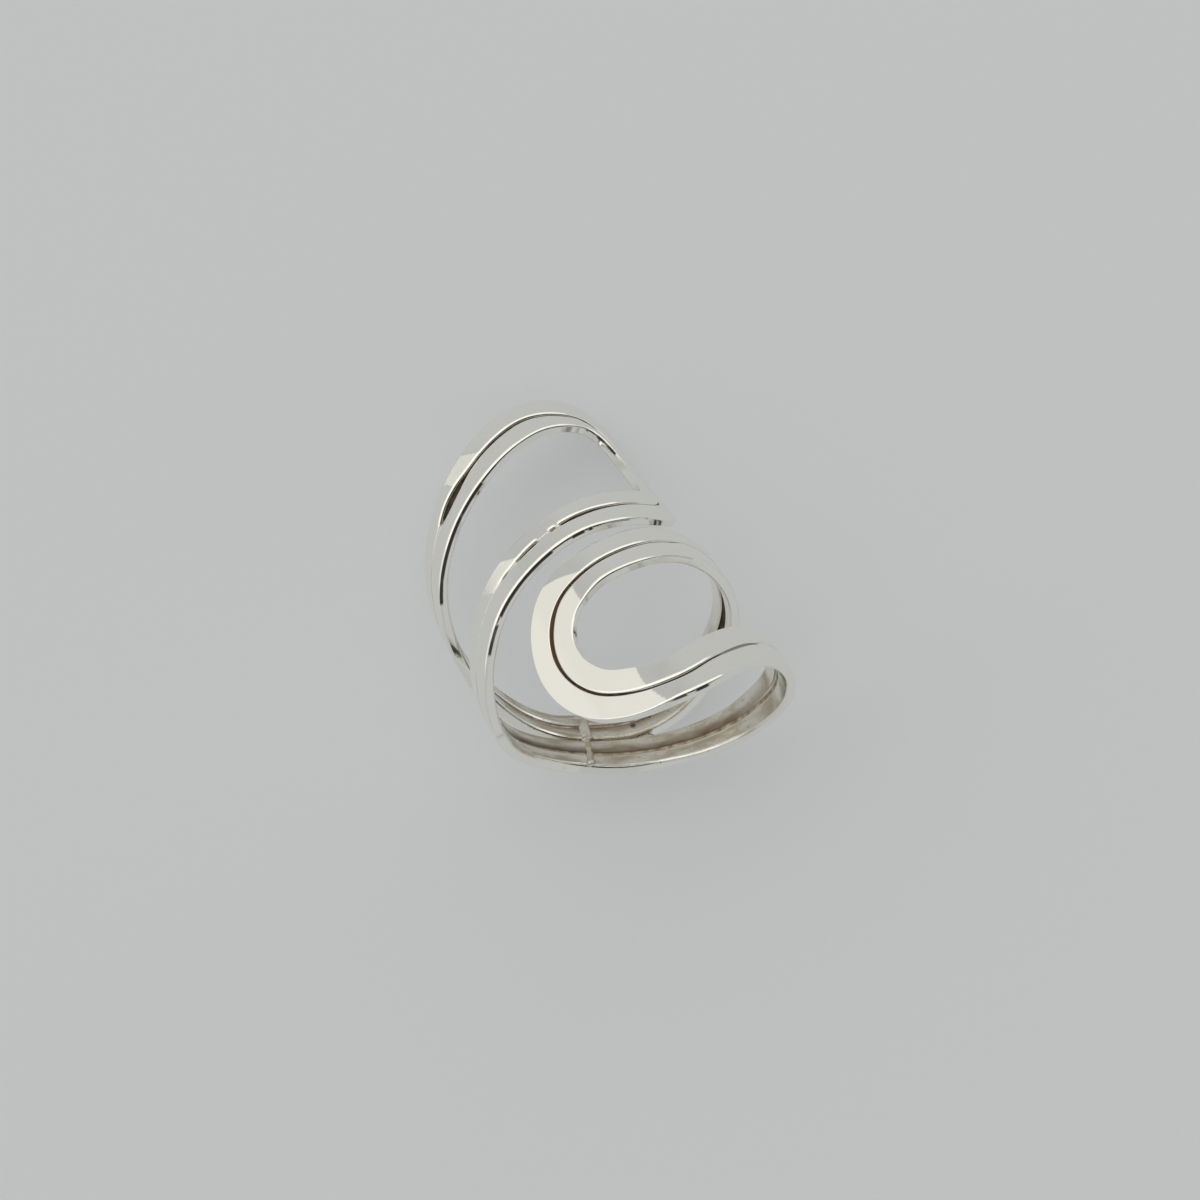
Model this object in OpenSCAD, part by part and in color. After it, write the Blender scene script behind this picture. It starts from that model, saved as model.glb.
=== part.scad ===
// Adjustable ring of one double silver wire, wound twice round the finger.
// Two flat wires lie side by side with a narrow slit between them. From the shank
// one loop rises on the right and one on the left, and they pass each other over the
// front without meeting, so that the ring opens and closes by bending.
// Millimetres. The ring lies on its side as it rests by itself: +Z is up, its front
// leans towards -Y, and the origin is below the middle of its bounding box.

/* [Ring] */
// Inner diameter, the finger size
inner_d = 17.7; // [17.0:0.1:18.6]
// Radial thickness of the flat wires in the loops
loop_thick = 0.75; // [0.6:0.05:0.9]
// Radial thickness of the flat wires in the shank
shank_thick = 0.95; // [0.8:0.05:1.1]
// How far the bend of the lower loop is pressed in towards the finger
end_press = 0.6; // [0.4:0.05:0.7]

/* [Double wire] */
// Width of the slit between the two wires
slit_w = 0.2; // [0.1:0.05:0.3]
// Thickness of the solder web that closes the slit halfway down
web_thick = 0.3; // [0.2:0.05:0.35]
// Bevel on the long edges of the wires
edge_bevel = 0.16; // [0.1:0.02:0.2]
// Steps from one row of a loop's table to the next
row_steps = 5; // [3:1:5]

/* [Solder] */
// Width of the solder run between the two turns of the shank
run_w = 1.0; // [0.9:0.05:1.2]
// Half the angle that the solder run covers, up to where the turns part
run_angle = 21; // [18:1:22]
// Angle of the soldered seam from the middle of the shank
seam_angle = 10.5; // [5:0.5:15]
// Width of the soldered seam across the shank
seam_w = 0.7; // [0.5:0.1:1.0]
// How far the seam stands out of the inner surface
seam_proud = 0.1; // [0.04:0.02:0.12]

/* [Hidden] */

inner_r = inner_d / 2;
outer_r = inner_r + loop_thick;

// The wire is thin up to this angle from the middle of the front, and full from the next
thin_to = 60;
full_from = 150;

// Slope of the wire to the way round the finger where it passes the middle of the shank
end_slope = 18;

// Where the pressing of the lower loop's bend sets in, and over how much it grows: angle
// round the finger and place along it, counted as in the loop's table
press_from = 20;
press_over = 40;
press_place = 2;
press_length = 8;

// The seam crosses all four wires and follows the middle of the slanting shank
seam_length = 5.7;
seam_place = -0.025 * seam_angle;

// The solder run: its stretches, its end's place along the finger, its thickness, and the
// share of its width that it loses towards the ends
run_steps = 8;
run_place = 1.12;
run_thick = 0.56;
run_taper = 0.2;
bead_l = 0.3;

// How the ring rests: the finger's angle from upright, and the turn of the ring about it
rest_lean = 48.8;
rest_turn = 26.6;

// Named columns of the loop tables. angle is counted round the finger from the middle of
// the front, place lies along the finger from the middle of the ring, and the widths are
// those of the wire on the outer side and of the wire on the inner side of the loop.
angle = 0;
place = 1;
outer_w = 2;
inner_w = 3;

// The loop whose bend passes the front at the upper end of the ring
upper_loop = [
    [180, 1.6, 1.5, 1.45],
    [160, 2.9, 1.35, 1.4],
    [135, 4.9, 1.4, 1.4],
    [110, 7.0, 1.5, 1.5],
    [85, 9.2, 1.55, 1.6],
    [60, 10.9, 1.6, 1.7],
    [35, 12.5, 1.65, 1.8],
    [15, 14.2, 1.65, 1.95],
    [-4, 15.5, 1.65, 2.05],
    [-20, 15.3, 1.65, 1.95],
    [-32, 13.9, 1.65, 1.8],
    [-40, 11.4, 1.65, 1.7],
    [-42, 8.8, 1.65, 1.65],
    [-38.5, 6.5, 1.65, 1.6],
    [-30, 4.5, 1.7, 1.6],
    [-15, 3.1, 1.75, 1.6],
    [5, 2.1, 1.8, 1.7],
    [30, 1.1, 1.75, 1.7],
    [60, 0.6, 1.7, 1.65],
    [90, 0.1, 1.6, 1.7],
    [120, -0.5, 1.5, 1.6],
    [150, -0.5, 1.5, 1.5],
    [168, -0.95, 1.5, 1.45],
    [180, -1.6, 1.5, 1.45]
];

// The loop at the lower end, given as if it were turned half round onto the upper one
lower_loop = [
    [180, 1.6, 1.5, 1.45],
    [160, 2.35, 1.35, 1.35],
    [135, 4.2, 1.35, 1.35],
    [110, 6.7, 1.4, 1.4],
    [85, 9.0, 1.6, 1.7],
    [60, 10.7, 1.7, 1.9],
    [35, 12.5, 1.8, 1.95],
    [15, 14.1, 1.85, 1.95],
    [-3, 15.3, 1.85, 1.95],
    [-18, 15.65, 1.85, 1.9],
    [-32, 15.4, 1.85, 1.8],
    [-42, 14.2, 1.8, 1.75],
    [-47.5, 11.8, 1.75, 1.7],
    [-49, 9.2, 1.7, 1.7],
    [-47, 6.6, 1.75, 1.7],
    [-41, 4.7, 1.8, 1.7],
    [-32, 3.8, 1.85, 1.7],
    [-22, 3.4, 1.85, 1.7],
    [-10, 3.0, 1.8, 1.65],
    [5, 2.6, 1.7, 1.55],
    [30, 1.7, 1.7, 1.5],
    [55, 0.7, 1.7, 1.5],
    [75, -0.4, 1.7, 1.6],
    [95, -1.3, 1.6, 1.6],
    [115, -1.5, 1.5, 1.6],
    [140, -0.75, 1.5, 1.5],
    [160, -0.75, 1.5, 1.45],
    [180, -1.6, 1.5, 1.45]
];

// A row laid flat: way round the outer surface, place, and the two widths
function flat(row) = [row[angle] * PI / 180 * outer_r, row[place], row[outer_w], row[inner_w]];
function chord(t, i) = norm([for (k = [0:1]) flat(t[i + 1])[k] - flat(t[i])[k]]);
function rise(t, i) = (flat(t[i + 1]) - flat(t[i])) / chord(t, i);

// Slope of the smooth curve at row i, weighted by the lengths on either side. Both
// loops pass the middle of the shank at one slope, and so run on into each other.
function slope(t, i) =
    i == 0 ? [-cos(end_slope), sin(end_slope), 0, 0]
    : i == len(t) - 1 ? [cos(end_slope), -sin(end_slope), 0, 0]
    : (chord(t, i) * rise(t, i - 1) + chord(t, i - 1) * rise(t, i)) / (chord(t, i) + chord(t, i - 1));

// Point and direction of the curve between row i, at u = 0, and the next, at u = 1
function curve(p, q, m, n, u) =
    p * (2 * u * u * u - 3 * u * u + 1) + m * (u * u * u - 2 * u * u + u)
    + q * (3 * u * u - 2 * u * u * u) + n * (u * u * u - u * u);
function heading(p, q, m, n, u) =
    (p - q) * (6 * u * u - 6 * u) + m * (3 * u * u - 4 * u + 1) + n * (3 * u * u - 2 * u);

// Smooth step from 0 to 1
function ease(x) = let (c = max(0, min(1, x))) c * c * (3 - 2 * c);

// Thickness of the wire: thin over the front, full in the shank
function thick_at(turn) =
    loop_thick + (shank_thick - loop_thick) * ease((abs(turn) - thin_to) / (full_from - thin_to));

// Share of the pressing that a point of the loop gets, near its bend
function pressing(turn, v) =
    ease((-turn - press_from) / press_over) * ease((v - press_place) / press_length);

// Cross-section of the double wire: way to the outer side of the loop, and radius
function profile(out, in, thick) =
    let (
        s = slit_w / 2,
        b = edge_bevel,
        low = inner_r,
        high = inner_r + thick,
        web_low = inner_r + (thick - web_thick) / 2,
        web_high = inner_r + (thick + web_thick) / 2
    )
    [
        [out, low + b], [out, high - b], [out - b, high], [s, high],
        [s, web_high], [-s, web_high], [-s, high], [b - in, high],
        [-in, high - b], [-in, low + b], [b - in, low], [-s, low],
        [-s, web_low], [s, web_low], [s, low], [out - b, low]
    ];

// A point laid flat at a radius, wrapped round the finger, which runs along Y
function wrap(x, v, r) = let (turn = x / outer_r * 180 / PI) [r * sin(turn), -v, r * cos(turn)];

function section(t, i, u, press) =
    let (
        p = flat(t[i]),
        q = flat(t[i + 1]),
        m = slope(t, i) * chord(t, i),
        n = slope(t, i + 1) * chord(t, i),
        c = curve(p, q, m, n, u),
        h = heading(p, q, m, n, u),
        side = [h[1], -h[0]] / norm([h[0], h[1]]),
        degrees = 180 / PI / outer_r
    )
    [
        for (k = profile(c[2], c[3], thick_at(c[0] * degrees)))
            let (
                x = c[0] + k[0] * side[0],
                v = c[1] + k[0] * side[1]
            )
            wrap(x, v, k[1] - press * pressing(x * degrees, v))
    ];

// All sections of a loop, from the middle of the shank round to just before it
function sections(t, press) =
    [for (i = [0:len(t) - 2]) for (k = [0:row_steps - 1]) section(t, i, k / row_steps, press)];

// A point of the upright ring as it lies at rest, before the box is centred
function turned(p) =
    [p.x * cos(rest_turn) + p.z * sin(rest_turn), p.y, p.z * cos(rest_turn) - p.x * sin(rest_turn)];
function leaned(p) =
    [-p.x, p.z * -cos(rest_lean) - p.y * sin(rest_lean), p.z * sin(rest_lean) - p.y * cos(rest_lean)];
function half_round(p) = [-p.x, -p.y, p.z];

// The whole band: the upper loop, and the lower loop turned half round the ring's front
band = concat(
    sections(upper_loop, 0),
    [for (s = sections(lower_loop, end_press)) [for (p = s) half_round(p)]]
);

resting = [for (s = band) for (p = s) leaned(turned(p))];
rest_low = [for (k = [0:2]) min([for (p = resting) p[k]])];
rest_high = [for (k = [0:2]) max([for (p = resting) p[k]])];
rest_base = [(rest_low.x + rest_high.x) / 2, (rest_low.y + rest_high.y) / 2, rest_low.z];

// The double wire, swept through its sections and closed on itself
module double_wire() {
    sides = len(band[0]);
    walls = [
        for (i = [0:len(band) - 1]) for (j = [0:sides - 1])
            let (
                a = i * sides,
                b = (i + 1) % len(band) * sides,
                k = (j + 1) % sides
            )
            [a + j, b + j, b + k, a + k]
    ];
    polyhedron([for (s = band) each s], walls, convexity = 10);
}

// Solder that joins the two turns of the shank, from one parting to the other
module solder_run() {
    module bead(k) {
        u = k / run_steps * 2 - 1;
        rotate([0, 180 + u * run_angle, 0])
            translate([0, u * run_place * (1.5 - u * u / 2), inner_r + shank_thick / 2])
                cube([bead_l, run_w * (1 - run_taper * u * u), run_thick], center = true);
    }
    for (k = [0:run_steps - 1])
        hull() {
            bead(k);
            bead(k + 1);
        }
}

// The soldered seam across the shank, where the two ends of the double wire meet
module solder_seam() {
    rotate([0, 180 + seam_angle, 0])
        translate([0, -seam_place, inner_r + shank_thick / 2 - seam_proud])
            cube([seam_w, seam_length, shank_thick], center = true);
}

module ring_band() {
    color("silver")
        translate(-rest_base)
            rotate([rest_lean - 90, 0, 180])
                rotate([0, rest_turn, 0]) {
                    double_wire();
                    solder_run();
                    solder_seam();
                }
}

ring_band();
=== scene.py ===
"""Looks of the adjustable ring: a double silver wire wound twice round the finger.

Lengths are in millimetres and angles in degrees until a mesh is made, which is in metres. The
upright ring has X to the right of its front, Y along the finger away from the upper end, and Z out
through the front. Points on it are given by the way x round its outer surface, the place v along
the finger, counted towards the upper end, and the radius r.
"""
import math

import bpy
import numpy as np
from mathutils import Matrix, Vector


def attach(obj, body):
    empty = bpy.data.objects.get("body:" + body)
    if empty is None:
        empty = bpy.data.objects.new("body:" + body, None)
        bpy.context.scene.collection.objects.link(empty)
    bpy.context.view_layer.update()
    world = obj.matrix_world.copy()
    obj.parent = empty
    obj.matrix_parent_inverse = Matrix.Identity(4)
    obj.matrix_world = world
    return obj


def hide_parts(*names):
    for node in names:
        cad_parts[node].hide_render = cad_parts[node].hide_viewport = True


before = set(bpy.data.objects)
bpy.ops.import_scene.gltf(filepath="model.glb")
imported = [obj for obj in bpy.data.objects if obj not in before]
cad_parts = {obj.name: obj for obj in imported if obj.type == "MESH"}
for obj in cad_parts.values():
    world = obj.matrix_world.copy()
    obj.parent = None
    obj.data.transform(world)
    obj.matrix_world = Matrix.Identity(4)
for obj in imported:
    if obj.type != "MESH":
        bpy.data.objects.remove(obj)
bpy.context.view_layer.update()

MM = 0.001

# ---- sizes, as in the CAD model ----
INNER_R = 8.85
LOOP_THICK = 0.75
SHANK_THICK = 0.95
OUTER_R = INNER_R + LOOP_THICK
ROUND = 2 * math.pi * OUTER_R
# the wire is thin up to the first angle from the middle of the front, and full from the second
THIN_TO, FULL_FROM = 60, 150
# slope of the wire to the way round the finger where it passes the middle of the shank
END_SLOPE = 18
# how far the bend of the lower loop is pressed in, and where that sets in and over how much it
# grows: angle round the finger and place along it, counted as in the loop's table
END_PRESS, PRESS_FROM, PRESS_OVER, PRESS_PLACE, PRESS_LENGTH = 0.6, 20, 40, 2, 8
# how the ring rests: the finger's angle from upright, the turn of the ring about it, and the
# place of its middle
REST_LEAN, REST_TURN = 48.8, 26.6
RING_MIDDLE = np.array([-0.0739, 3.6505, 8.6835])
# the solder run in the shank: its width, the share of it lost towards the ends, half its angle
RUN_WIDTH, RUN_TAPER, RUN_ANGLE = 1.0, 0.2, 21

# angle round the finger, place along it, width of the outer wire, width of the inner wire
UPPER = [
    (180, 1.6, 1.5, 1.45), (160, 2.9, 1.35, 1.4), (135, 4.9, 1.4, 1.4), (110, 7.0, 1.5, 1.5),
    (85, 9.2, 1.55, 1.6), (60, 10.9, 1.6, 1.7), (35, 12.5, 1.65, 1.8), (15, 14.2, 1.65, 1.95),
    (-4, 15.5, 1.65, 2.05), (-20, 15.3, 1.65, 1.95), (-32, 13.9, 1.65, 1.8), (-40, 11.4, 1.65, 1.7),
    (-42, 8.8, 1.65, 1.65), (-38.5, 6.5, 1.65, 1.6), (-30, 4.5, 1.7, 1.6), (-15, 3.1, 1.75, 1.6),
    (5, 2.1, 1.8, 1.7), (30, 1.1, 1.75, 1.7), (60, 0.6, 1.7, 1.65), (90, 0.1, 1.6, 1.7),
    (120, -0.5, 1.5, 1.6), (150, -0.5, 1.5, 1.5), (168, -0.95, 1.5, 1.45), (180, -1.6, 1.5, 1.45),
]
# the lower loop, turned half round onto the upper one
LOWER = [
    (180, 1.6, 1.5, 1.45), (160, 2.35, 1.35, 1.35), (135, 4.2, 1.35, 1.35), (110, 6.7, 1.4, 1.4),
    (85, 9.0, 1.6, 1.7), (60, 10.7, 1.7, 1.9), (35, 12.5, 1.8, 1.95), (15, 14.1, 1.85, 1.95),
    (-3, 15.3, 1.85, 1.95), (-18, 15.65, 1.85, 1.9), (-32, 15.4, 1.85, 1.8), (-42, 14.2, 1.8, 1.75),
    (-47.5, 11.8, 1.75, 1.7), (-49, 9.2, 1.7, 1.7), (-47, 6.6, 1.75, 1.7), (-41, 4.7, 1.8, 1.7),
    (-32, 3.8, 1.85, 1.7), (-22, 3.4, 1.85, 1.7), (-10, 3.0, 1.8, 1.65), (5, 2.6, 1.7, 1.55),
    (30, 1.7, 1.7, 1.5), (55, 0.7, 1.7, 1.5), (75, -0.4, 1.7, 1.6), (95, -1.3, 1.6, 1.6),
    (115, -1.5, 1.5, 1.6), (140, -0.75, 1.5, 1.5), (160, -0.75, 1.5, 1.45), (180, -1.6, 1.5, 1.45),
]


# ---- frames ----
def at_rest(p):
    """Points or directions of the upright ring, turned to where it rests on its side."""
    p = np.asarray(p, float)
    x, y, z = p[..., 0], p[..., 1], p[..., 2]
    turn, tip = math.radians(REST_TURN), math.radians(REST_LEAN)
    x, z = x * math.cos(turn) + z * math.sin(turn), z * math.cos(turn) - x * math.sin(turn)
    turned = (-x, -z * math.cos(tip) - y * math.sin(tip), z * math.sin(tip) - y * math.cos(tip))
    return np.stack(turned, -1)


def in_world(p):
    return (at_rest(p) + RING_MIDDLE) * MM


def wrap(x, v, r):
    """Points of the upright ring, from the way round, the place and the radius."""
    a = x / OUTER_R
    return np.stack([r * np.sin(a), -v + 0 * a, r * np.cos(a)], -1)


def surface_axes(x):
    """Directions in which x, v and r grow, at a way x round the ring."""
    a = x / OUTER_R
    e_x = np.stack([np.cos(a), 0 * a, -np.sin(a)], -1)
    e_r = np.stack([np.sin(a), 0 * a, np.cos(a)], -1)
    return e_x, np.array([0.0, -1.0, 0.0]), e_r


def ease(x):
    """Smooth step from 0 to 1."""
    c = np.clip(x, 0, 1)
    return c * c * (3 - 2 * c)


# ---- the centre line ----
# distance between two sections of the wire, steps from one row of a loop's table to the next, and
# how far the line is smoothed
STEP = 0.16
ROW_STEPS = 40
LINE_SMOOTHING = 0.5


def loop_points(rows):
    """The smooth curve through a table's rows: way round, place and the two widths."""
    t = np.array(rows, float)
    t[:, 0] = np.radians(t[:, 0]) * OUTER_R
    chord = np.linalg.norm(np.diff(t[:, :2], axis=0), axis=1)
    rise = np.diff(t, axis=0) / chord[:, None]
    slope = np.zeros_like(t)
    before, after = chord[:-1, None], chord[1:, None]
    slope[1:-1] = (after * rise[:-1] + before * rise[1:]) / (after + before)
    e = math.radians(END_SLOPE)
    slope[0] = (-math.cos(e), math.sin(e), 0, 0)
    slope[-1] = -slope[0]
    u = (np.arange(ROW_STEPS) / ROW_STEPS)[:, None]
    out = []
    for i in range(len(t) - 1):
        p, q, m, n = t[i], t[i + 1], slope[i] * chord[i], slope[i + 1] * chord[i]
        out.append(p * (2 * u**3 - 3 * u**2 + 1) + m * (u**3 - 2 * u**2 + u)
                   + q * (3 * u**2 - 2 * u**3) + n * (u**3 - u**2))
    return np.vstack(out)


def smooth(a, sigma):
    """Gaussian smoothing of values along the closed wire, over a length of sigma."""
    count = len(a)
    f = np.fft.rfftfreq(count)
    g = np.exp(-2 * (math.pi * f * sigma / STEP) ** 2)
    return np.fft.irfft(np.fft.rfft(a, axis=0) * (g[:, None] if a.ndim > 1 else g), count, axis=0)


upper = loop_points(UPPER)
lower = loop_points(LOWER)
lower[:, 0] = ROUND - lower[:, 0]
lower[:, 1] *= -1
course = np.vstack([upper, lower])
n_upper = len(upper)
closed = np.vstack([course, course[:1]])
way = np.concatenate([[0], np.cumsum(np.linalg.norm(np.diff(closed[:, :2], axis=0), axis=1))])
LENGTH = way[-1]
COUNT = int(round(LENGTH / STEP))
# way along the wire, and what the line has there
s = np.arange(COUNT) * LENGTH / COUNT
line = np.stack([np.interp(s, way, closed[:, k]) for k in range(4)], 1)
line = smooth(line, LINE_SMOOTHING)
line_x, line_v, outer_widths, inner_widths = line.T
head = np.roll(line[:, :2], -1, 0) - np.roll(line[:, :2], 1, 0)
head /= np.linalg.norm(head, axis=1)[:, None]
# towards the outer side of the loop
side = np.stack([head[:, 1], -head[:, 0]], 1)
in_lower = s >= way[n_upper]
front_angle = np.degrees(line_x / OUTER_R)
front_angle = np.where(in_lower, 360 - front_angle, front_angle)
thickening = ease((np.abs(front_angle) - THIN_TO) / (FULL_FROM - THIN_TO))
thickness = LOOP_THICK + (SHANK_THICK - LOOP_THICK) * thickening


def pressed(x, v, lower_loop):
    """How far a point is pressed in towards the finger, near the bend of the lower loop."""
    turn = 360 - np.degrees(x / OUTER_R)
    share = ease((-turn - PRESS_FROM) / PRESS_OVER) * ease((-v - PRESS_PLACE) / PRESS_LENGTH)
    return np.where(lower_loop, END_PRESS * share, 0.0)


# half the distance over which the slope of the pressing is measured
PRESS_DELTA = 0.05


def press_tilt(x, v, lower_loop, e_x, e_v):
    """How the surface's direction tilts where the bend of the lower loop is pressed in."""
    d = PRESS_DELTA
    by_x = (pressed(x + d, v, lower_loop) - pressed(x - d, v, lower_loop)) / (2 * d)
    by_v = (pressed(x, v + d, lower_loop) - pressed(x, v - d, lower_loop)) / (2 * d)
    return e_x * by_x[:, None] + e_v * by_v[:, None]


# length of one swing of smoothed random values, in lengths of smoothing
SWING = 2.6


def wave(length, seed):
    """Smooth random values from -1 to 1 along the closed wire, about one swing per length."""
    w = smooth(np.random.default_rng(seed).standard_normal(COUNT), length / SWING)
    return w / np.abs(w).max()


def patchy(mean, amount, length, seed):
    """Shares from 0 to 1 that change along the closed wire, about one swing per length."""
    return np.clip(mean + amount * wave(length, seed), 0, 1)


def at_row(loop, row):
    """Way along the wire of a table row, which may be a fraction, in the upper or lower loop."""
    k = min(int(row * ROW_STEPS), (n_upper if loop == "upper" else len(lower)) - 1)
    return way[k if loop == "upper" else n_upper + k]


def along(points):
    """Values along the closed wire, from (loop, row, value) points."""
    w = np.array([at_row(a, b) for a, b, _ in points])
    return np.interp(s, w, [c for _, _, c in points], period=LENGTH)


# width of the slit: its places, how far it is smoothed, how much it wavers, its least and most
SLIT = [
    ("upper", 0, 0.2), ("upper", 4.5, 0.2), ("upper", 5.8, 0.1), ("upper", 6.1, 0.2),
    ("upper", 6.9, 0.16), ("upper", 7.3, 0.1), ("upper", 8.2, 0.17), ("upper", 9.6, 0.22),
    ("upper", 10.6, 0.16), ("upper", 11.4, 0.15), ("upper", 12.2, 0.26), ("upper", 13.3, 0.34),
    ("upper", 14.2, 0.22), ("upper", 15, 0.16), ("upper", 16.5, 0.12), ("upper", 17.4, 0.12),
    ("upper", 18, 0.3), ("upper", 19.4, 0.32), ("upper", 20, 0.2), ("upper", 23, 0.2),
    ("lower", 0, 0.2), ("lower", 4, 0.16), ("lower", 5.1, 0.12), ("lower", 5.35, 0.7),
    ("lower", 5.7, 0.72), ("lower", 6.15, 0.2), ("lower", 7.2, 0.26), ("lower", 8.4, 0.2),
    ("lower", 9.2, 0.24), ("lower", 12.4, 0.24), ("lower", 13.4, 0.12), ("lower", 17, 0.12),
    ("lower", 18, 0.16), ("lower", 18.5, 0.24), ("lower", 19.1, 0.24), ("lower", 19.5, 0.12),
    ("lower", 19.9, 0.2), ("lower", 20.3, 0.1), ("lower", 24, 0.1), ("lower", 27, 0.2),
]
SLIT_SMOOTHING, SLIT_WAVER, SLIT_SWING, SLIT_SEED = 0.45, 0.015, 3.0, 3
SLIT_LEAST, SLIT_MOST = 0.05, 0.8
wavering = SLIT_WAVER * wave(SLIT_SWING, SLIT_SEED)
slit = np.clip(smooth(along(SLIT), SLIT_SMOOTHING) + wavering, SLIT_LEAST, SLIT_MOST)

# how far the slit lies towards the inner side of its loop
SLIT_SHIFT = [
    ("upper", 0, 0), ("lower", 7.8, 0), ("lower", 9.2, 0.45), ("lower", 10, 0.6),
    ("lower", 12.4, 0.6), ("lower", 13.8, 0),
]
SHIFT_SMOOTHING = 0.8
slit_shift = smooth(along(SLIT_SHIFT), SHIFT_SMOOTHING)

# how much wider the slit is on the inside, where the inner wire is cut away
INSIDE_CUT = [
    ("upper", 17.2, 0), ("upper", 18, 0.5), ("upper", 19.5, 0.62), ("upper", 20.2, 0),
    ("lower", 0, 0),
]
CUT_SMOOTHING = 0.5
inside_cut = smooth(along(INSIDE_CUT), CUT_SMOOTHING)

# how far solder fills the slit on the outside: 0 leaves it deep and dark, 1 is flush and silver
FILL = [
    ("upper", 0, 1), ("upper", 5.75, 1), ("upper", 5.95, 0.5), ("upper", 6.9, 0.45),
    ("upper", 7.2, 0), ("upper", 10.4, 0), ("upper", 10.8, 0.15), ("upper", 11.4, 0),
    ("upper", 16.6, 0), ("upper", 17.2, 1), ("upper", 23, 1), ("lower", 0, 1),
    ("lower", 3.4, 0.88), ("lower", 5.12, 0.86), ("lower", 5.28, 0), ("lower", 8.4, 0),
    ("lower", 9, 0.1), ("lower", 12.6, 0.1), ("lower", 13.4, 0.3), ("lower", 16.4, 0.3),
    ("lower", 17, 0), ("lower", 19.26, 0), ("lower", 19.29, 1), ("lower", 19.39, 1),
    ("lower", 19.41, 0), ("lower", 19.45, 0), ("lower", 19.48, 1), ("lower", 19.76, 1),
    ("lower", 19.79, 0), ("lower", 20.14, 0), ("lower", 20.2, 0.9), ("lower", 20.5, 0.7),
    ("lower", 20.8, 1), ("lower", 27, 1),
]
FILL_SMOOTHING = 0.12
fill = np.clip(smooth(along(FILL), FILL_SMOOTHING), 0, 1)
# the wires' edges by the slit fade from this share of solder on, and are gone where it is flush
EDGE_FADES_FROM = 0.6
open_edge = 1 - np.clip((fill - EDGE_FADES_FROM) / (1 - EDGE_FADES_FROM), 0, 1)

# the soldered seam: its angle round the finger at place 0, and its slant in degrees per
# millimetre. The attribute "way" starts anew below it, so that it hides where "way" jumps.
SEAM_ANGLE, SEAM_SLANT = 189.5, 1.7
start = int(round((LENGTH - math.radians(SEAM_ANGLE - 180) * OUTER_R) / STEP))
way_value = np.mod(s - s[start], LENGTH)


# ---- meshes ----
def placed(name, data):
    """A new object in the scene."""
    obj = bpy.data.objects.new(name, data)
    bpy.context.scene.collection.objects.link(obj)
    return obj


def tube(name, grid, closed_way=True):
    """A mesh swept through closed sections, grid[section, point], in the upright ring's frame."""
    rows, sides = grid.shape[:2]
    mesh = bpy.data.meshes.new(name)
    faces = []
    for i in range(rows if closed_way else rows - 1):
        a, b = i * sides, (i + 1) % rows * sides
        for j in range(sides):
            k = (j + 1) % sides
            faces.append((a + j, a + k, b + k, b + j))
    if not closed_way:
        faces.append(tuple(range(sides - 1, -1, -1)))
        faces.append(tuple((rows - 1) * sides + j for j in range(sides)))
    mesh.from_pydata(in_world(grid.reshape(-1, 3)).tolist(), [], faces)
    mesh.update()
    mesh.shade_smooth()
    return placed(name, mesh)


def values(obj, name, numbers):
    """Gives a piece an attribute: one number for each vertex, or one for all."""
    layer = obj.data.attributes.new(name, "FLOAT", "POINT")
    count = len(obj.data.vertices)
    layer.data.foreach_set("value", np.broadcast_to(np.asarray(numbers, np.float32).ravel(), count))


# the direction of the bevel on an edge, and how near to it a point's direction is on the bevel
BEVEL_ACROSS, BEVEL_UP, BEVEL_RANGE = 0.36, 0.93, 0.02
# profile of a wire's edge on the outside: in from the edge, down from the top, the surface's
# direction towards the edge and up, and how much of the painted shade marks it takes. It is narrow
# where the edge is sharp and wide where it is worn.
SHARP_EDGE = np.array([
    (0.0, 0.16, 1.0, 0.0, 1.0), (0.004, 0.135, 0.96, 0.28, 1.0), (0.014, 0.115, 0.83, 0.56, 1.0),
    (0.04, 0.088, 0.77, 0.64, 0.8), (0.052, 0.077, 0.5, 0.87, 0.2), (0.065, 0.07, 0.38, 0.925, 0.0),
    (0.14, 0.032, BEVEL_ACROSS, BEVEL_UP, 0.0), (0.18, 0.013, 0.2, 0.98, 0.0),
    (0.24, 0.0, 0.0, 1.0, 0.0),
])
WORN_EDGE = np.array([
    (0.0, 0.27, 1.0, 0.0, 1.0), (0.006, 0.215, 0.96, 0.28, 1.0), (0.022, 0.175, 0.83, 0.56, 1.0),
    (0.075, 0.102, 0.77, 0.64, 1.0), (0.09, 0.084, 0.5, 0.87, 0.3),
    (0.105, 0.076, 0.38, 0.925, 0.0), (0.2, 0.036, BEVEL_ACROSS, BEVEL_UP, 0.0),
    (0.24, 0.014, 0.2, 0.98, 0.0), (0.29, 0.0, 0.0, 1.0, 0.0),
])
# size of the edges on the inside, as a share of those on the outside
INSIDE_EDGE = 0.9
# how far the painted shade marks reach down from the edge
SHADE_MARK_DEPTH = 0.09
# points across the flat outside, close enough for the slanting ends of the flattened places, and
# across the flat inside
TOP_POINTS = np.linspace(0, 1, 14)[1:-1]
LOW_POINTS = (0.25, 0.5, 0.75)


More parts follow.
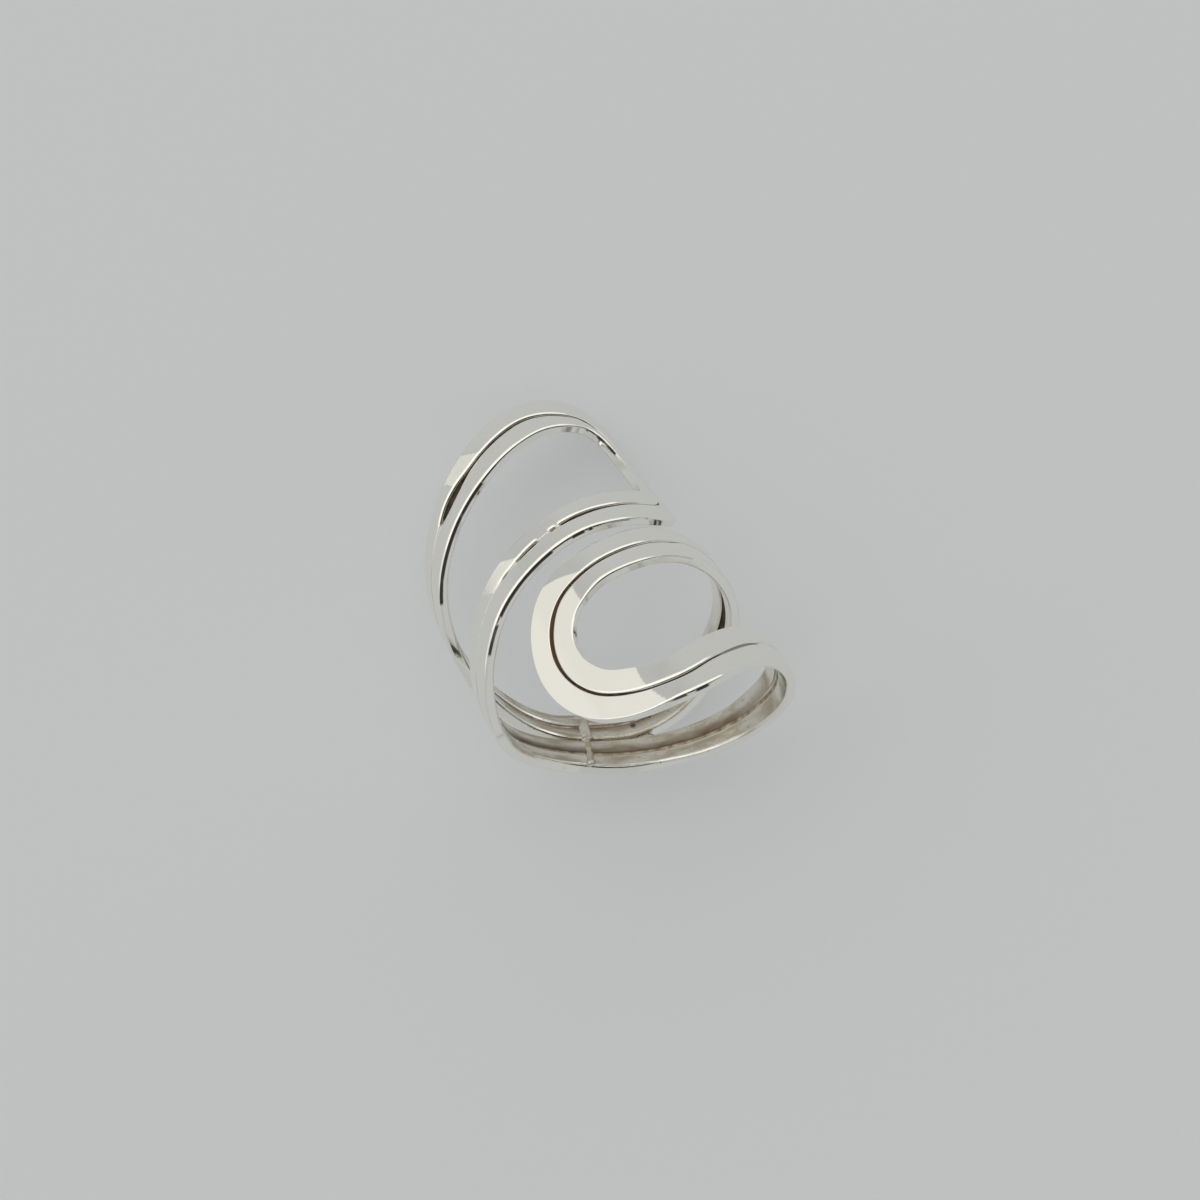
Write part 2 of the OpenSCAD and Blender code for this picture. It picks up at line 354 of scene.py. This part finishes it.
def outline(width, thick, slit_edge, wear, scale):
    """Section of a flat wire: across from the slit, up, the surface's direction in both, painted
    shade.
    """
    top = (SHARP_EDGE + (WORN_EDGE - SHARP_EDGE) * wear) * [scale, scale, 1, 1, 1]
    by_slit = top[::-1] * [1, slit_edge, slit_edge, 1, 0]
    by_slit[:, 3] = 1 - (1 - by_slit[:, 3]) * slit_edge
    low = top * [INSIDE_EDGE, INSIDE_EDGE, 1, 1, 0]
    top_in, top_down, low_in, low_up = top[-1, 0], top[0, 1], low[-1, 0], low[0, 1]
    rows = [(width - a, thick - d, na, nu, k) for a, d, na, nu, k in top]
    rows += [(width - top_in - f * (width - 2 * top_in), thick, 0, 1, 0) for f in TOP_POINTS]
    rows += [(a, thick - d, -na, nu, k) for a, d, na, nu, k in by_slit]
    rows += [(a, d, -na, -nu, k) for a, d, na, nu, k in low]
    rows += [(low_in + f * (width - 2 * low_in), 0, 0, -1, 0) for f in LOW_POINTS]
    rows += [(width - a, d, na, -nu, k) for a, d, na, nu, k in low[::-1]]
    rows += [(width, low_up + 0.5 * (thick - low_up - top_down), 1, 0, 0)]
    rows += [(width, thick - top_down - SHADE_MARK_DEPTH, 1, 0, 0)]
    return np.array(rows)


# ---- what hand work and wear did to the wires, and painted shade below some edges ----
# In these tables a wire is 1 for the outer one of its loop and -1 for the inner one.

# flattened and filed places that lean towards the upper end of the ring: the loop, the rows where
# they begin and end at the slit, the wire, how much they lean, how far the two ends shift along
# the way from the slit to the wire's edge, and how much the wire is bent down
FACETS = [
    ("upper", 8.75, 15.05, 1, 0.155, -0.7, -2.2, 1.0),
    ("upper", 8.8, 14.65, -1, 0.155, 0.8, -1.0, 1.0),
    ("lower", 5.75, 6.6, 1, 0.15, -0.3, -0.9, 0.0),
    ("lower", 20.12, 20.85, -1, 0.14, 1.2, 0.9, 0.0),
]
# length of a flattened place's ends, of the bend's ends, and how far off it may still matter
FACET_EDGE, BEND_EDGE, FACET_REACH = 0.15, 3.0, 4

# stained pits on the inside of the shank: angle round, place, size and how strong
PITS = [
    (165.6, -0.3, 0.26, 1.0), (162.9, -0.38, 0.16, 0.6), (160.0, -0.4, 0.12, 0.5),
    (156.9, -0.31, 0.17, 0.9), (92.1, 7.17, 0.13, 0.9),
]

# The tables below give stretches of the edges: the loop, the wire, the rows of their ends, and how
# strong they are.

# edges that are rounded towards the upper end and glint
GLINTS = [("lower", 1, 8.3, 12.8, 0.45), ("lower", -1, 8.3, 12.8, 0.45)]
# painted shade: dark marks on the walls below the free edges, where they turn from the light
SHADE_MARKS = [
    ("lower", 1, 18.82, 18.98, 0.9), ("lower", 1, 19.05, 19.32, 1.0), ("lower", 1, 19.7, 21.1, 1.0),
    ("lower", 1, 21.25, 21.9, 0.8), ("lower", 1, 16.8, 17.0, 0.4), ("lower", 1, 17.6, 18.3, 0.5),
    ("lower", -1, 3.9, 6.0, 1.0), ("lower", -1, 10.6, 12.0, 1.0),
    ("upper", 1, 8.15, 8.5, 0.7), ("upper", 1, 7.75, 8.0, 0.8), ("upper", -1, 16.4, 17.2, 0.3),
    ("lower", -1, 9.8, 10.05, 0.8),
]
# edges that are worn wide
WORN = [
    ("lower", 1, 18.5, 22.5, 0.9), ("lower", -1, 3.5, 6.5, 1.0), ("upper", 1, 7.6, 8.6, 0.8),
    ("lower", -1, 9.8, 12.0, 0.8), ("upper", 1, 0, 3.0, 1.0), ("lower", 1, 24.5, 28, 1.0),
    ("lower", 1, 0.6, 3.0, 1.0), ("lower", -1, 0.6, 3.0, 1.0),
]
# edges that are narrower, by this share of their width
NARROW = [("upper", 1, 8.6, 15.0, 0.75), ("upper", -1, 9.0, 14.6, 0.55)]
# edges on the inside that are rubbed clean
CLEAN = [
    ("upper", 1, 0, 2.5, 0.9), ("lower", 1, 24.8, 28, 0.9), ("lower", 1, 0.9, 3.0, 1.0),
    ("lower", -1, 0.9, 3.0, 1.0),
]
# length of the ends of the narrow stretches, of the painted shade marks, and of all others
NARROW_ENDS, SHADE_MARK_ENDS, SOFT_ENDS = 4.0, 0.3, 1.5
# how far the worked wire rises and falls, and tilts, and the length of one swing
LIFT, LIFT_SWING = 0.012, 5.0
TWIST, TWIST_SWING = 0.012, 3.5
# mean, amount and length of one swing of the wear of the edges, of how the painted shade marks
# cover, and of how the rubbing does
WEAR = (0.3, 0.5, 2.2)
SHADE_MARKING = (0.95, 0.4, 0.8)
RUBBING = (0.9, 0.6, 2.0)
# the rubbed edges are where the inside's direction turns away from the flat by this much
RUBBED_FROM = 0.1


def within(w, first, last, ends):
    """1 for a way between first and last and 0 outside, with soft ends."""
    return ease((w - first) / ends + 0.5) * ease((last - w) / ends + 0.5)


def spans(table, sign, ends):
    """Values along a wire from a table of stretches, with soft ends."""
    total = np.zeros(COUNT)
    for loop, which, a, b, strength in table:
        if which == sign:
            share = within(s, at_row(loop, a), at_row(loop, b), ends)
            total = np.maximum(total, strength * share)
    return total


def lean(sign, i, f):
    """How much the outside of a wire leans towards the upper end at a section, and is bent down."""
    total, bend = np.zeros(len(f)), 0.0
    for loop, a, b, which, amount, shift_a, shift_b, bent in FACETS:
        first, last = at_row(loop, a), at_row(loop, b)
        if which == sign and first - FACET_REACH < s[i] < last + FACET_REACH:
            begun = ease((s[i] - first - shift_a * f) / FACET_EDGE)
            not_over = ease((last + shift_b * f - s[i]) / FACET_EDGE)
            total = total + amount * (begun * not_over)
            bend += bent * amount * within(s[i], first, last, BEND_EDGE)
    return total, bend


def pitted(x, v):
    """How strong the stained pits are at points of the inside surface."""
    total = 0 * x
    for angle, place, size, strong in PITS:
        apart = ((x - math.radians(angle) * OUTER_R) ** 2 + (v - place) ** 2) / size ** 2
        total = np.maximum(total, strong * np.exp(-apart))
    return total


def slope_of(a):
    return (np.roll(a, -1) - np.roll(a, 1)) / (2 * STEP)


def wire(name, sign, widths, seed):
    """One flat wire of the pair: sign 1 is the outer one of its loop, -1 the inner one."""
    lift = LIFT * wave(LIFT_SWING, seed)
    twist = TWIST * wave(TWIST_SWING, seed + 1)
    wear = np.maximum(patchy(*WEAR, seed + 2), spans(WORN, sign, SOFT_ENDS))
    # painted shade below some free edges, in dark marks
    shade_mark = spans(SHADE_MARKS, sign, SHADE_MARK_ENDS) * patchy(*SHADE_MARKING, seed + 3)
    glint = spans(GLINTS, sign, SOFT_ENDS)
    edge_scale = 1 - spans(NARROW, sign, NARROW_ENDS)
    rubbed = spans(CLEAN, sign, SOFT_ENDS) * patchy(*RUBBING, seed + 4)
    lift_slope, twist_slope = slope_of(lift), slope_of(twist)
    grid, normals = [], []
    painted = {"across": [], "up": [], "shade_mark": [], "pit": [], "clean": []}
    for i in range(COUNT):
        gap = slit[i] / 2 - sign * slit_shift[i]
        width = widths[i] - gap
        section = outline(width, thickness[i], open_edge[i], wear[i], edge_scale[i])
        # across from the slit, up from the inside, the surface's direction in both, and painted
        # shade
        c, h, na, nu, shade_share = section.T
        f = c / width
        top = h > thickness[i] * 0.5
        painted["across"].append(f)
        painted["up"].append(h / thickness[i])
        painted["shade_mark"].append(shade_share * shade_mark[i])
        painted["clean"].append(rubbed[i] * (~top & (np.abs(na) > RUBBED_FROM)))
        c = c + gap
        if sign < 0:
            c = c + np.where(top, 0, inside_cut[i] * (1 - f))
        leaning, bend = lean(sign, i, f)
        bend *= side[i, 1] * sign
        h = h + np.where(top, lift[i] + twist[i] * (2 * f - 1) - bend * c, 0)
        x = line_x[i] + sign * c * side[i, 0]
        v = line_v[i] + sign * c * side[i, 1]
        painted["pit"].append(pitted(x, v) * ~top)
        grid.append(wrap(x, v, INNER_R + h - pressed(x, v, in_lower[i])))
        # the surface's direction, from the slopes of all that shapes it
        e_x, e_v, e_r = surface_axes(x)
        e_side = (e_x * side[i, 0] + e_v * side[i, 1]) * sign
        e_head = e_x * head[i, 0] + e_v * head[i, 1]
        waves = e_head * (lift_slope[i] + twist_slope[i] * (2 * f - 1))[:, None]
        waves = waves + e_side * 2 * twist[i] / width
        on_bevel = np.abs(nu - BEVEL_UP) < BEVEL_RANGE
        facing = np.clip(-na * sign * side[i, 0], 0, BEVEL_ACROSS) / BEVEL_ACROSS
        rounded = leaning + glint[i] * on_bevel * facing
        on_top = np.where(top, nu, 0)[:, None]
        rise = e_r + press_tilt(x, v, in_lower[i], e_x, e_v)
        rise = rise + on_top * (rounded[:, None] * e_v - waves)
        n = na[:, None] * e_side + nu[:, None] * rise
        normals.append(n / np.linalg.norm(n, axis=1)[:, None])
    order = slice(None, None, sign)
    grid, normals = np.array(grid)[:, order], np.array(normals)[:, order]
    obj = tube(name, grid)
    obj.data.normals_split_custom_set_from_vertices(at_rest(normals.reshape(-1, 3)).tolist())
    for what, rows in painted.items():
        values(obj, what, np.array(rows)[:, order])
    values(obj, "inner", 0.5 - 0.5 * sign)
    values(obj, "way", np.repeat(way_value, grid.shape[1]))
    values(obj, "turn", np.repeat(np.abs(front_angle), grid.shape[1]))
    return obj


outer_wire = wire("outer_wire", 1, outer_widths, seed=11)
inner_wire = wire("inner_wire", -1, inner_widths, seed=21)

# ---- solder in the slit ----
# where the inside of the slit is filled with stained solder
IN_SHANK = [
    ("upper", 0, 1), ("upper", 4.4, 1), ("upper", 5.4, 0), ("upper", 20.3, 0), ("upper", 21, 1),
    ("lower", 0, 1), ("lower", 3, 1), ("lower", 4, 0), ("lower", 23.5, 0), ("lower", 24.5, 1),
    ("lower", 27, 1),
]
# where the slit is rust brown
RUST = [
    ("upper", 11.2, 0), ("upper", 12.2, 1), ("upper", 13.8, 1), ("upper", 15.0, 0.2),
    ("upper", 16.0, 0), ("lower", 0, 0),
]
WEB_SIDES = 5
# how far the solder reaches into the wires, how hollow it is in the middle where it isn't flush,
# and how much of the cut inside it fills
WEB_OVERLAP, WEB_HOLLOW, CUT_FILLED = 0.04, 0.04, 0.8
# its lower face as a share of the thickness, how much lower that is in the shank, its upper face,
# and how much higher that is where it is flush
WEB_LOW, WEB_LOWERED, WEB_HIGH, WEB_RAISED = 0.3, 0.18, 0.6, 0.39
in_shank = along(IN_SHANK)
web_rows = []
for i in range(COUNT):
    half = slit[i] / 2 + WEB_OVERLAP
    low = thickness[i] * (WEB_LOW - WEB_LOWERED * in_shank[i])
    high = thickness[i] * (WEB_HIGH + WEB_RAISED * fill[i])
    reach = np.array([half, half, 0, -half, -half - CUT_FILLED * inside_cut[i]]) - slit_shift[i]
    x = line_x[i] + reach * side[i, 0]
    v = line_v[i] + reach * side[i, 1]
    height = np.array([low, high, high - WEB_HOLLOW * (1 - fill[i]), high, low])
    web_rows.append(wrap(x, v, INNER_R + height - pressed(x, v, in_lower[i])))
web = tube("slit_solder", np.array(web_rows))
none = np.zeros(COUNT)
values(web, "fill", np.stack([none, fill, fill, fill, none], 1))
values(web, "way", np.repeat(way_value, WEB_SIDES))
values(web, "rust", np.repeat(along(RUST), WEB_SIDES))
values(web, "stain", np.stack([in_shank, none, none, none, in_shank], 1))


# ---- solder run between the two turns of the shank, and the seam across it ----
# how many points to either side the smoothing of the lumps reaches
LUMP_REACH = 8


def lumpy(count, seed, amount, sigma):
    """Smooth random values round 1, that differ from it by as much as amount."""
    r = np.random.default_rng(seed).standard_normal(count)
    k = np.exp(-0.5 * (np.arange(-LUMP_REACH, LUMP_REACH + 1) / sigma) ** 2)
    w = np.convolve(r, k, "same")
    return 1 + amount * w / np.abs(w).max()


def circle(sides):
    """The angles of so many points round a circle."""
    return 2 * math.pi * np.arange(sides) / sides


RUN_POINTS, RUN_SIDES = 61, 16
# half the run's thickness, the place of its ends, the share of its half length that is rounded
# off, and the least of the rounding
RUN_HIGH, RUN_PLACE, RUN_ROUNDED, RUN_LEAST = 0.3, 1.15, 0.2, 0.02
# the run slants with the shank, and less steeply towards its ends: u goes from -1 to 1 along it
run_rows = []
run_size = lumpy(RUN_POINTS, seed=5, amount=0.18, sigma=2.0)
t = circle(RUN_SIDES)
for u, size in zip(np.linspace(-1, 1, RUN_POINTS), run_size):
    past = max(0, (abs(u) - (1 - RUN_ROUNDED)) / RUN_ROUNDED)
    end = math.sqrt(max(RUN_LEAST, 1 - past ** 2))
    half = RUN_WIDTH / 2 * (1 - RUN_TAPER * u * u) * end
    place = -u * RUN_PLACE * (1.5 - u * u / 2)
    x = (math.pi + math.radians(RUN_ANGLE * u)) * OUTER_R
    height = INNER_R + SHANK_THICK / 2 + RUN_HIGH * size * end * np.sin(t)
    run_rows.append(wrap(np.full(RUN_SIDES, x), place + half * np.cos(t), height))
run = tube("shank_solder", np.array(run_rows), closed_way=False)

SEAM_POINTS, SEAM_SIDES = 73, 14
# the places of its ends, half its width, half its thickness, and how far its middle stands out
SEAM_FROM, SEAM_TO, SEAM_HALF, SEAM_HIGH, SEAM_LIFT = -3.0, 2.45, 0.26, 0.13, 0.06
# a bead and a flat blob on it: place, length, how much wider, and how many times thicker
SEAM_LUMPS = [(2.15, 0.24, 0.12, 1.3), (-1.0, 0.9, 0.3, 0.8)]
# how dark the painted shade on its rim is, where it meets the shank, and how steeply that grows
RIM_SHADE, RIM_POWER = 0.4, 3
seam_rows = []
seam_size = lumpy(SEAM_POINTS, seed=8, amount=0.4, sigma=1.6)
seam_shift = lumpy(SEAM_POINTS, seed=9, amount=0.08, sigma=3.0) - 1
t = circle(SEAM_SIDES)
for v, size, shift in zip(np.linspace(SEAM_FROM, SEAM_TO, SEAM_POINTS), seam_size, seam_shift):
    wider, thicker = 0.0, 0.0
    for lump_place, lump_length, lump_wider, lump_thicker in SEAM_LUMPS:
        share = math.exp(-((v - lump_place) / lump_length) ** 2)
        wider += lump_wider * share
        thicker += lump_thicker * share
    half = size * (SEAM_HALF + wider)
    tall = SEAM_HIGH * size * (1 + thicker)
    x = math.radians(SEAM_ANGLE + SEAM_SLANT * v) * OUTER_R + shift + half * np.cos(t)
    seam_rows.append(wrap(x, np.full(SEAM_SIDES, v), INNER_R + SEAM_LIFT + tall * np.sin(t)))
seam = tube("shank_seam", np.array(seam_rows), closed_way=False)
# the stretches of the silver's noise that the two pieces show
RUN_WAY, SEAM_WAY = (0, 7), (30, 36)
for o in (run, seam):
    values(o, "across", 0.5)
    values(o, "inner", 0.0)
    values(o, "up", 0.0)
    values(o, "turn", 180)
# painted shade along the seam's rim, where it meets the shank
values(seam, "shade_mark", np.tile(RIM_SHADE * np.abs(np.cos(t)) ** RIM_POWER, SEAM_POINTS))
values(run, "way", np.repeat(np.linspace(*RUN_WAY, RUN_POINTS), RUN_SIDES))
values(seam, "way", np.repeat(np.linspace(*SEAM_WAY, SEAM_POINTS), SEAM_SIDES))


# ---- materials ----
class Nodes:
    """A node tree, with short calls for the nodes that are used often."""

    def __init__(self, tree):
        self.tree = tree

    def add(self, kind, **settings):
        n = self.tree.nodes.new(kind)
        for k, v in settings.items():
            setattr(n, k, v)
        return n

    def join(self, a, b):
        self.tree.links.new(a, b)

    def put(self, socket, value):
        if isinstance(value, bpy.types.NodeSocket):
            self.join(value, socket)
        else:
            socket.default_value = value

    def attribute(self, name):
        return self.add("ShaderNodeAttribute", attribute_name=name).outputs["Fac"]

    def math(self, operation, a, b=0.0, c=0.0):
        n = self.add("ShaderNodeMath", operation=operation)
        for k, v in enumerate((a, b, c)):
            self.put(n.inputs[k], v)
        return n.outputs[0]

    def times(self, a, b):
        return self.math("MULTIPLY", a, b)

    def most(self, a, b):
        return self.math("MAXIMUM", a, b)

    def span(self, value, low, high, to_low=0.0, to_high=1.0):
        """Smooth change from to_low to to_high while the value goes from low to high."""
        n = self.add("ShaderNodeMapRange", interpolation_type="SMOOTHSTEP")
        for k, v in enumerate((value, low, high, to_low, to_high)):
            self.put(n.inputs[k], v)
        return n.outputs[0]

    def noise(self, x, y, z, detail=3.0):
        c = self.add("ShaderNodeCombineXYZ")
        for k, v in enumerate((x, y, z)):
            self.put(c.inputs[k], v)
        n = self.add("ShaderNodeTexNoise")
        self.join(c.outputs[0], n.inputs["Vector"])
        n.inputs["Scale"].default_value = 1.0
        n.inputs["Detail"].default_value = detail
        return n.outputs["Fac"]

    def mix(self, share, a, b):
        n = self.add("ShaderNodeMix", data_type="RGBA")
        self.put(n.inputs[0], share)
        self.put(n.inputs[6], a)
        self.put(n.inputs[7], b)
        return n.outputs[2]

    def window(self, value, low, high, edge):
        """1 between low and high and 0 outside, with soft edges."""
        rising = self.span(value, low - edge, low + edge)
        falling = self.span(value, high - edge, high + edge, to_low=1.0, to_high=0.0)
        return self.times(rising, falling)


class Surface(Nodes):
    """A new material with one principled surface."""

    def __init__(self, name):
        self.material = bpy.data.materials.new(name)
        self.material.use_nodes = True
        super().__init__(self.material.node_tree)
        self.surface = self.tree.nodes["Principled BSDF"]

    def set(self, name, value):
        self.put(self.surface.inputs[name], value)

    def bump(self, height, strength, distance):
        n = self.add("ShaderNodeBump")
        n.inputs["Strength"].default_value = strength
        n.inputs["Distance"].default_value = distance
        self.put(n.inputs["Height"], height)
        self.join(n.outputs[0], self.surface.inputs["Normal"])


SILVER = (0.93, 0.925, 0.87, 1)
# the tarnish of the shank, the stains in it, and the black of the deep pits and of the painted
# shade
TAN = (0.45, 0.38, 0.265, 1)
BROWN = (0.15, 0.105, 0.065, 1)
PIT_AND_SHADE_BLACK = (0.02, 0.016, 0.012, 1)
# solder in the slit: deep down, rusty, stained in the shank, and half filled
DEEP_DARK, DEEP_BROWN = (0.012, 0.009, 0.007, 1), (0.06, 0.035, 0.018, 1)
RUST_DARK, RUST_LIGHT = (0.03, 0.014, 0.006, 1), (0.12, 0.062, 0.026, 1)
STAIN_DARK, STAIN_LIGHT = (0.12, 0.085, 0.05, 1), (0.36, 0.3, 0.21, 1)
HALF_FILLED = (0.25, 0.22, 0.17, 1)
# the angles from the middle of the front between which the tarnish of the shank sets in
SHANK_FROM, SHANK_FULL = 80, 135
# roughness of the silver where it is polished and where it is dull, and what tarnish, stains and
# painted shade add
POLISHED, DULL, TARNISH_ROUGH, STAIN_AND_SHADE_ROUGH = 0.06, 0.11, 0.3, 0.3
# height of the scratches and of the tarnish against that of the stains and painted shade, whose
# depth is in metres
SCRATCH_HEIGHT, TARNISH_HEIGHT = 0.25, 0.8
SILVER_BUMP, SILVER_DEPTH = 0.35, 0.00003
SOLDER_BUMP, SOLDER_DEPTH = 0.4, 0.00004


def worn_silver():
    """Polished silver with fine scratches, tarnished inside the shank, dark in its stained pits and
    in painted shade below some edges.
    """
    m = Surface("worn_silver")
    w, c, u = m.attribute("way"), m.attribute("across"), m.attribute("up")

    def grain(per_mm, per_width, layer, detail=3.0):
        """Noise that changes so often per millimetre of the wire and across its width."""
        return m.noise(m.times(w, per_mm), m.times(c, per_width), layer, detail)

    shank = m.span(m.attribute("turn"), SHANK_FROM, SHANK_FULL)
    inside = m.span(u, 0.12, 0.3, to_low=1.0, to_high=0.0)
    streaks = m.span(grain(0.4, 1.8, 3.0), 0.36, 0.66)
    clouds = m.span(grain(0.5, 1.5, 7.0), 0.35, 0.65)
    cover = m.times(inside, m.math("MULTIPLY_ADD", shank, 0.85, 0.05))
    cover = m.times(cover, m.math("SUBTRACT", 1.0, m.attribute("clean")))
    tan = m.times(cover, m.math("MULTIPLY_ADD", streaks, 0.6, 0.4))
    # stains along the slit, wider on the inner wire, and in scattered pits
    by_slit = m.math("MULTIPLY_ADD", m.attribute("inner"), 0.6, 0.04)
    groove = m.times(cover, m.span(c, 0.0, by_slit, to_low=0.9, to_high=0.0))
    pits = m.span(grain(3.0, 5.0, 11.0, detail=2.0), 0.68, 0.74)
    pits = m.times(pits, m.times(inside, m.span(shank, 0.2, 0.9)))
    stain = m.most(groove, pits)
    # black of the painted shade below the edges, together with the real dark of the stained pits
    pits_and_shade = m.most(m.attribute("shade_mark"), m.attribute("pit"))
    stains_and_shade = m.most(stain, pits_and_shade)
    colour = m.mix(tan, SILVER, TAN)
    colour = m.mix(stain, colour, BROWN)
    colour = m.mix(m.span(pits_and_shade, 0.1, 0.75), colour, PIT_AND_SHADE_BLACK)
    m.set("Base Color", colour)
    m.set("Metallic", m.span(pits_and_shade, 0.2, 0.8, to_low=1.0, to_high=0.2))
    polish = m.span(clouds, 0.0, 1.0, POLISHED, DULL)
    rough = m.math("ADD", polish, m.times(tan, TARNISH_ROUGH))
    m.set("Roughness", m.math("ADD", rough, m.times(stains_and_shade, STAIN_AND_SHADE_ROUGH)))
    scratches = grain(2.0, 60.0, 5.0, detail=4.0)
    crust = m.times(m.times(streaks, cover), TARNISH_HEIGHT)
    height = m.math("ADD", m.times(scratches, SCRATCH_HEIGHT), crust)
    m.bump(m.math("SUBTRACT", height, stains_and_shade), SILVER_BUMP, SILVER_DEPTH)
    return m.material


def slit_solder():
    """Solder that is dark deep in the slit, and bright like the wires where it is flush."""
    m = Surface("slit_solder")
    filled = m.attribute("fill")
    grain = m.noise(m.times(m.attribute("way"), 1.3), 0.0, 2.0, detail=4.0)
    dark = m.mix(m.span(grain, 0.35, 0.65), DEEP_DARK, DEEP_BROWN)
    dark = m.mix(m.attribute("rust"), dark, m.mix(grain, RUST_DARK, RUST_LIGHT))
    stained = m.mix(m.span(grain, 0.3, 0.7), STAIN_DARK, STAIN_LIGHT)
    dark = m.mix(m.attribute("stain"), dark, stained)
    half_way = m.mix(m.span(filled, 0.15, 0.5), dark, HALF_FILLED)
    m.set("Base Color", m.mix(m.span(filled, 0.6, 0.95), half_way, SILVER))
    m.set("Metallic", m.span(filled, 0.1, 0.9, to_low=0.2, to_high=1.0))
    m.set("Roughness", m.span(filled, 0.0, 0.9, to_low=0.65, to_high=0.1))
    m.bump(grain, SOLDER_BUMP, SOLDER_DEPTH)
    return m.material


silver = worn_silver()
for o in (outer_wire, inner_wire, run, seam):
    o.data.materials.append(silver)
web.data.materials.append(slit_solder())

for o in (outer_wire, inner_wire, web, run, seam):
    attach(o, "root")
    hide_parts("ring_band")

# ---- floor, in metres ----
FLOOR = 12.0
floor_mesh = bpy.data.meshes.new("floor")
corners = [(-FLOOR, -FLOOR, 0), (FLOOR, -FLOOR, 0), (FLOOR, FLOOR, 0), (-FLOOR, FLOOR, 0)]
floor_mesh.from_pydata(corners, [], [(0, 1, 2, 3)])
floor = placed("floor", floor_mesh)
paper = Surface("floor")
paper.set("Base Color", (0.33, 0.333, 0.333, 1))
paper.set("Roughness", 0.9)
floor_mesh.materials.append(paper.material)

# ---- light ----
GREY = (0.97, 0.985, 1.0)
CREAM = (1.0, 0.985, 0.93)
# the top light evens out the floor; what the silver mirrors are the cards of the studio below.
# Its height above the ring's middle and its size are in metres.
TOP_HEIGHT, TOP_SIZE, TOP_RADIANCE = 1.5, 2.0, 3.0
top_light = bpy.data.lights.new("top_light", "AREA")
top_light.shape = "SQUARE"
top_light.size = TOP_SIZE
top_light.energy = TOP_RADIANCE * math.pi * TOP_SIZE * TOP_SIZE
top_light.color = GREY
top_light.use_shadow = False
top_panel = placed("top_light", top_light)
top_panel.location = Vector(RING_MIDDLE * MM) + Vector((0, 0, TOP_HEIGHT))
top_panel.visible_glossy = False

# how bright the studio is to the left of the ring's front, to its right and in the dark band, and
# the angles between which it brightens
LEFT_GREY, RIGHT_GREY, DARK_LEVEL = 0.48, 0.53, 0.03
GREY_FROM, GREY_TO = -70, 20
# the dark band, as degrees from the upper end towards the front, and its soft edges
BAND_FROM, BAND_TO, BAND_EDGE = 26, 62, 3.0
# cards around the ring: the directions they fill, as degrees from the ring's front to its right,
# and the share that points along the finger away from the upper end; their soft edges; and how
# bright they are
CARDS = [
    (-76, 20, 3.0, -0.36, 0.40, 0.03, 1.08),
    (-104, -42, 12.0, 0.36, 0.60, 0.012, 0.84),
    (-60, 14, 3.0, 0.36, 0.60, 0.012, 0.80),
    (-104, -70, 3.0, -0.20, 0.40, 0.03, 0.80),
    (16, 75, 5.0, -0.10, 0.40, 0.03, 1.0),
]
world = bpy.data.worlds.new("studio")
bpy.context.scene.world = world
world.use_nodes = True
sky = Nodes(world.node_tree)
coord = sky.add("ShaderNodeTexCoord").outputs["Generated"]


def part_along(*towards):
    """The part of the direction looked in that points along a direction of the upright ring."""
    d = at_rest(np.array(towards, float))
    n = sky.add("ShaderNodeVectorMath", operation="DOT_PRODUCT")
    sky.join(coord, n.inputs[0])
    n.inputs[1].default_value = Vector(d / np.linalg.norm(d))
    return n.outputs["Value"]


right, away, out = part_along(1, 0, 0), part_along(0, 1, 0), part_along(0, 0, 1)
round_front = sky.math("DEGREES", sky.math("ARCTAN2", right, out))
from_upper_end = sky.math("DEGREES", sky.math("ARCTAN2", out, sky.times(away, -1.0)))
dark_band = sky.window(from_upper_end, BAND_FROM, BAND_TO, BAND_EDGE)
level = sky.span(round_front, GREY_FROM, GREY_TO, LEFT_GREY, RIGHT_GREY)
level = sky.times(level, sky.math("SUBTRACT", 1 + DARK_LEVEL, dark_band))
lit = 0.0
for left_end, right_end, edge, near_end, far_end, soft, bright in CARDS:
    card = sky.times(sky.window(round_front, left_end, right_end, edge),
                     sky.window(away, near_end, far_end, soft))
    level = sky.most(level, sky.times(card, bright))
    lit = sky.most(lit, card)
background = world.node_tree.nodes["Background"]
sky.join(sky.mix(lit, (*GREY, 1), (*CREAM, 1)), background.inputs["Color"])
sky.join(level, background.inputs["Strength"])

bpy.context.scene.view_settings.view_transform = "Standard"

# ---- camera ----
# the ring's axes (right, towards the upper end, out through the front) and its middle as the
# camera has them: right, down and forward
SEEN_RIGHT = np.array([0.9315, -0.2435, 0.2704])
SEEN_UPPER = np.array([0.3630, 0.5698, -0.7373])
SEEN_FRONT = np.array([-0.0255, -0.7849, -0.6191])
SEEN_MIDDLE = np.array([0.227, 3.084, 146.93])
SENSOR, LENS = 36, 63.3
# in metres
CLIP_FROM, CLIP_TO = 0.005, 10
left_vectors, _, right_vectors = np.linalg.svd(np.stack([SEEN_RIGHT, -SEEN_UPPER, SEEN_FRONT], 1))
seen = left_vectors @ right_vectors
eye = seen.T @ -SEEN_MIDDLE
axes = [at_rest(seen.T @ np.array(a, float)) for a in ((1, 0, 0), (0, -1, 0), (0, 0, -1))]
camera_data = bpy.data.cameras.new("camera")
camera_data.sensor_width, camera_data.lens = SENSOR, LENS
camera_data.clip_start, camera_data.clip_end = CLIP_FROM, CLIP_TO
camera = placed("camera", camera_data)
facing = Matrix([list(r) for r in np.stack(axes, 1)]).to_4x4()
camera.matrix_world = Matrix.Translation(Vector(in_world(eye))) @ facing
bpy.context.scene.camera = camera
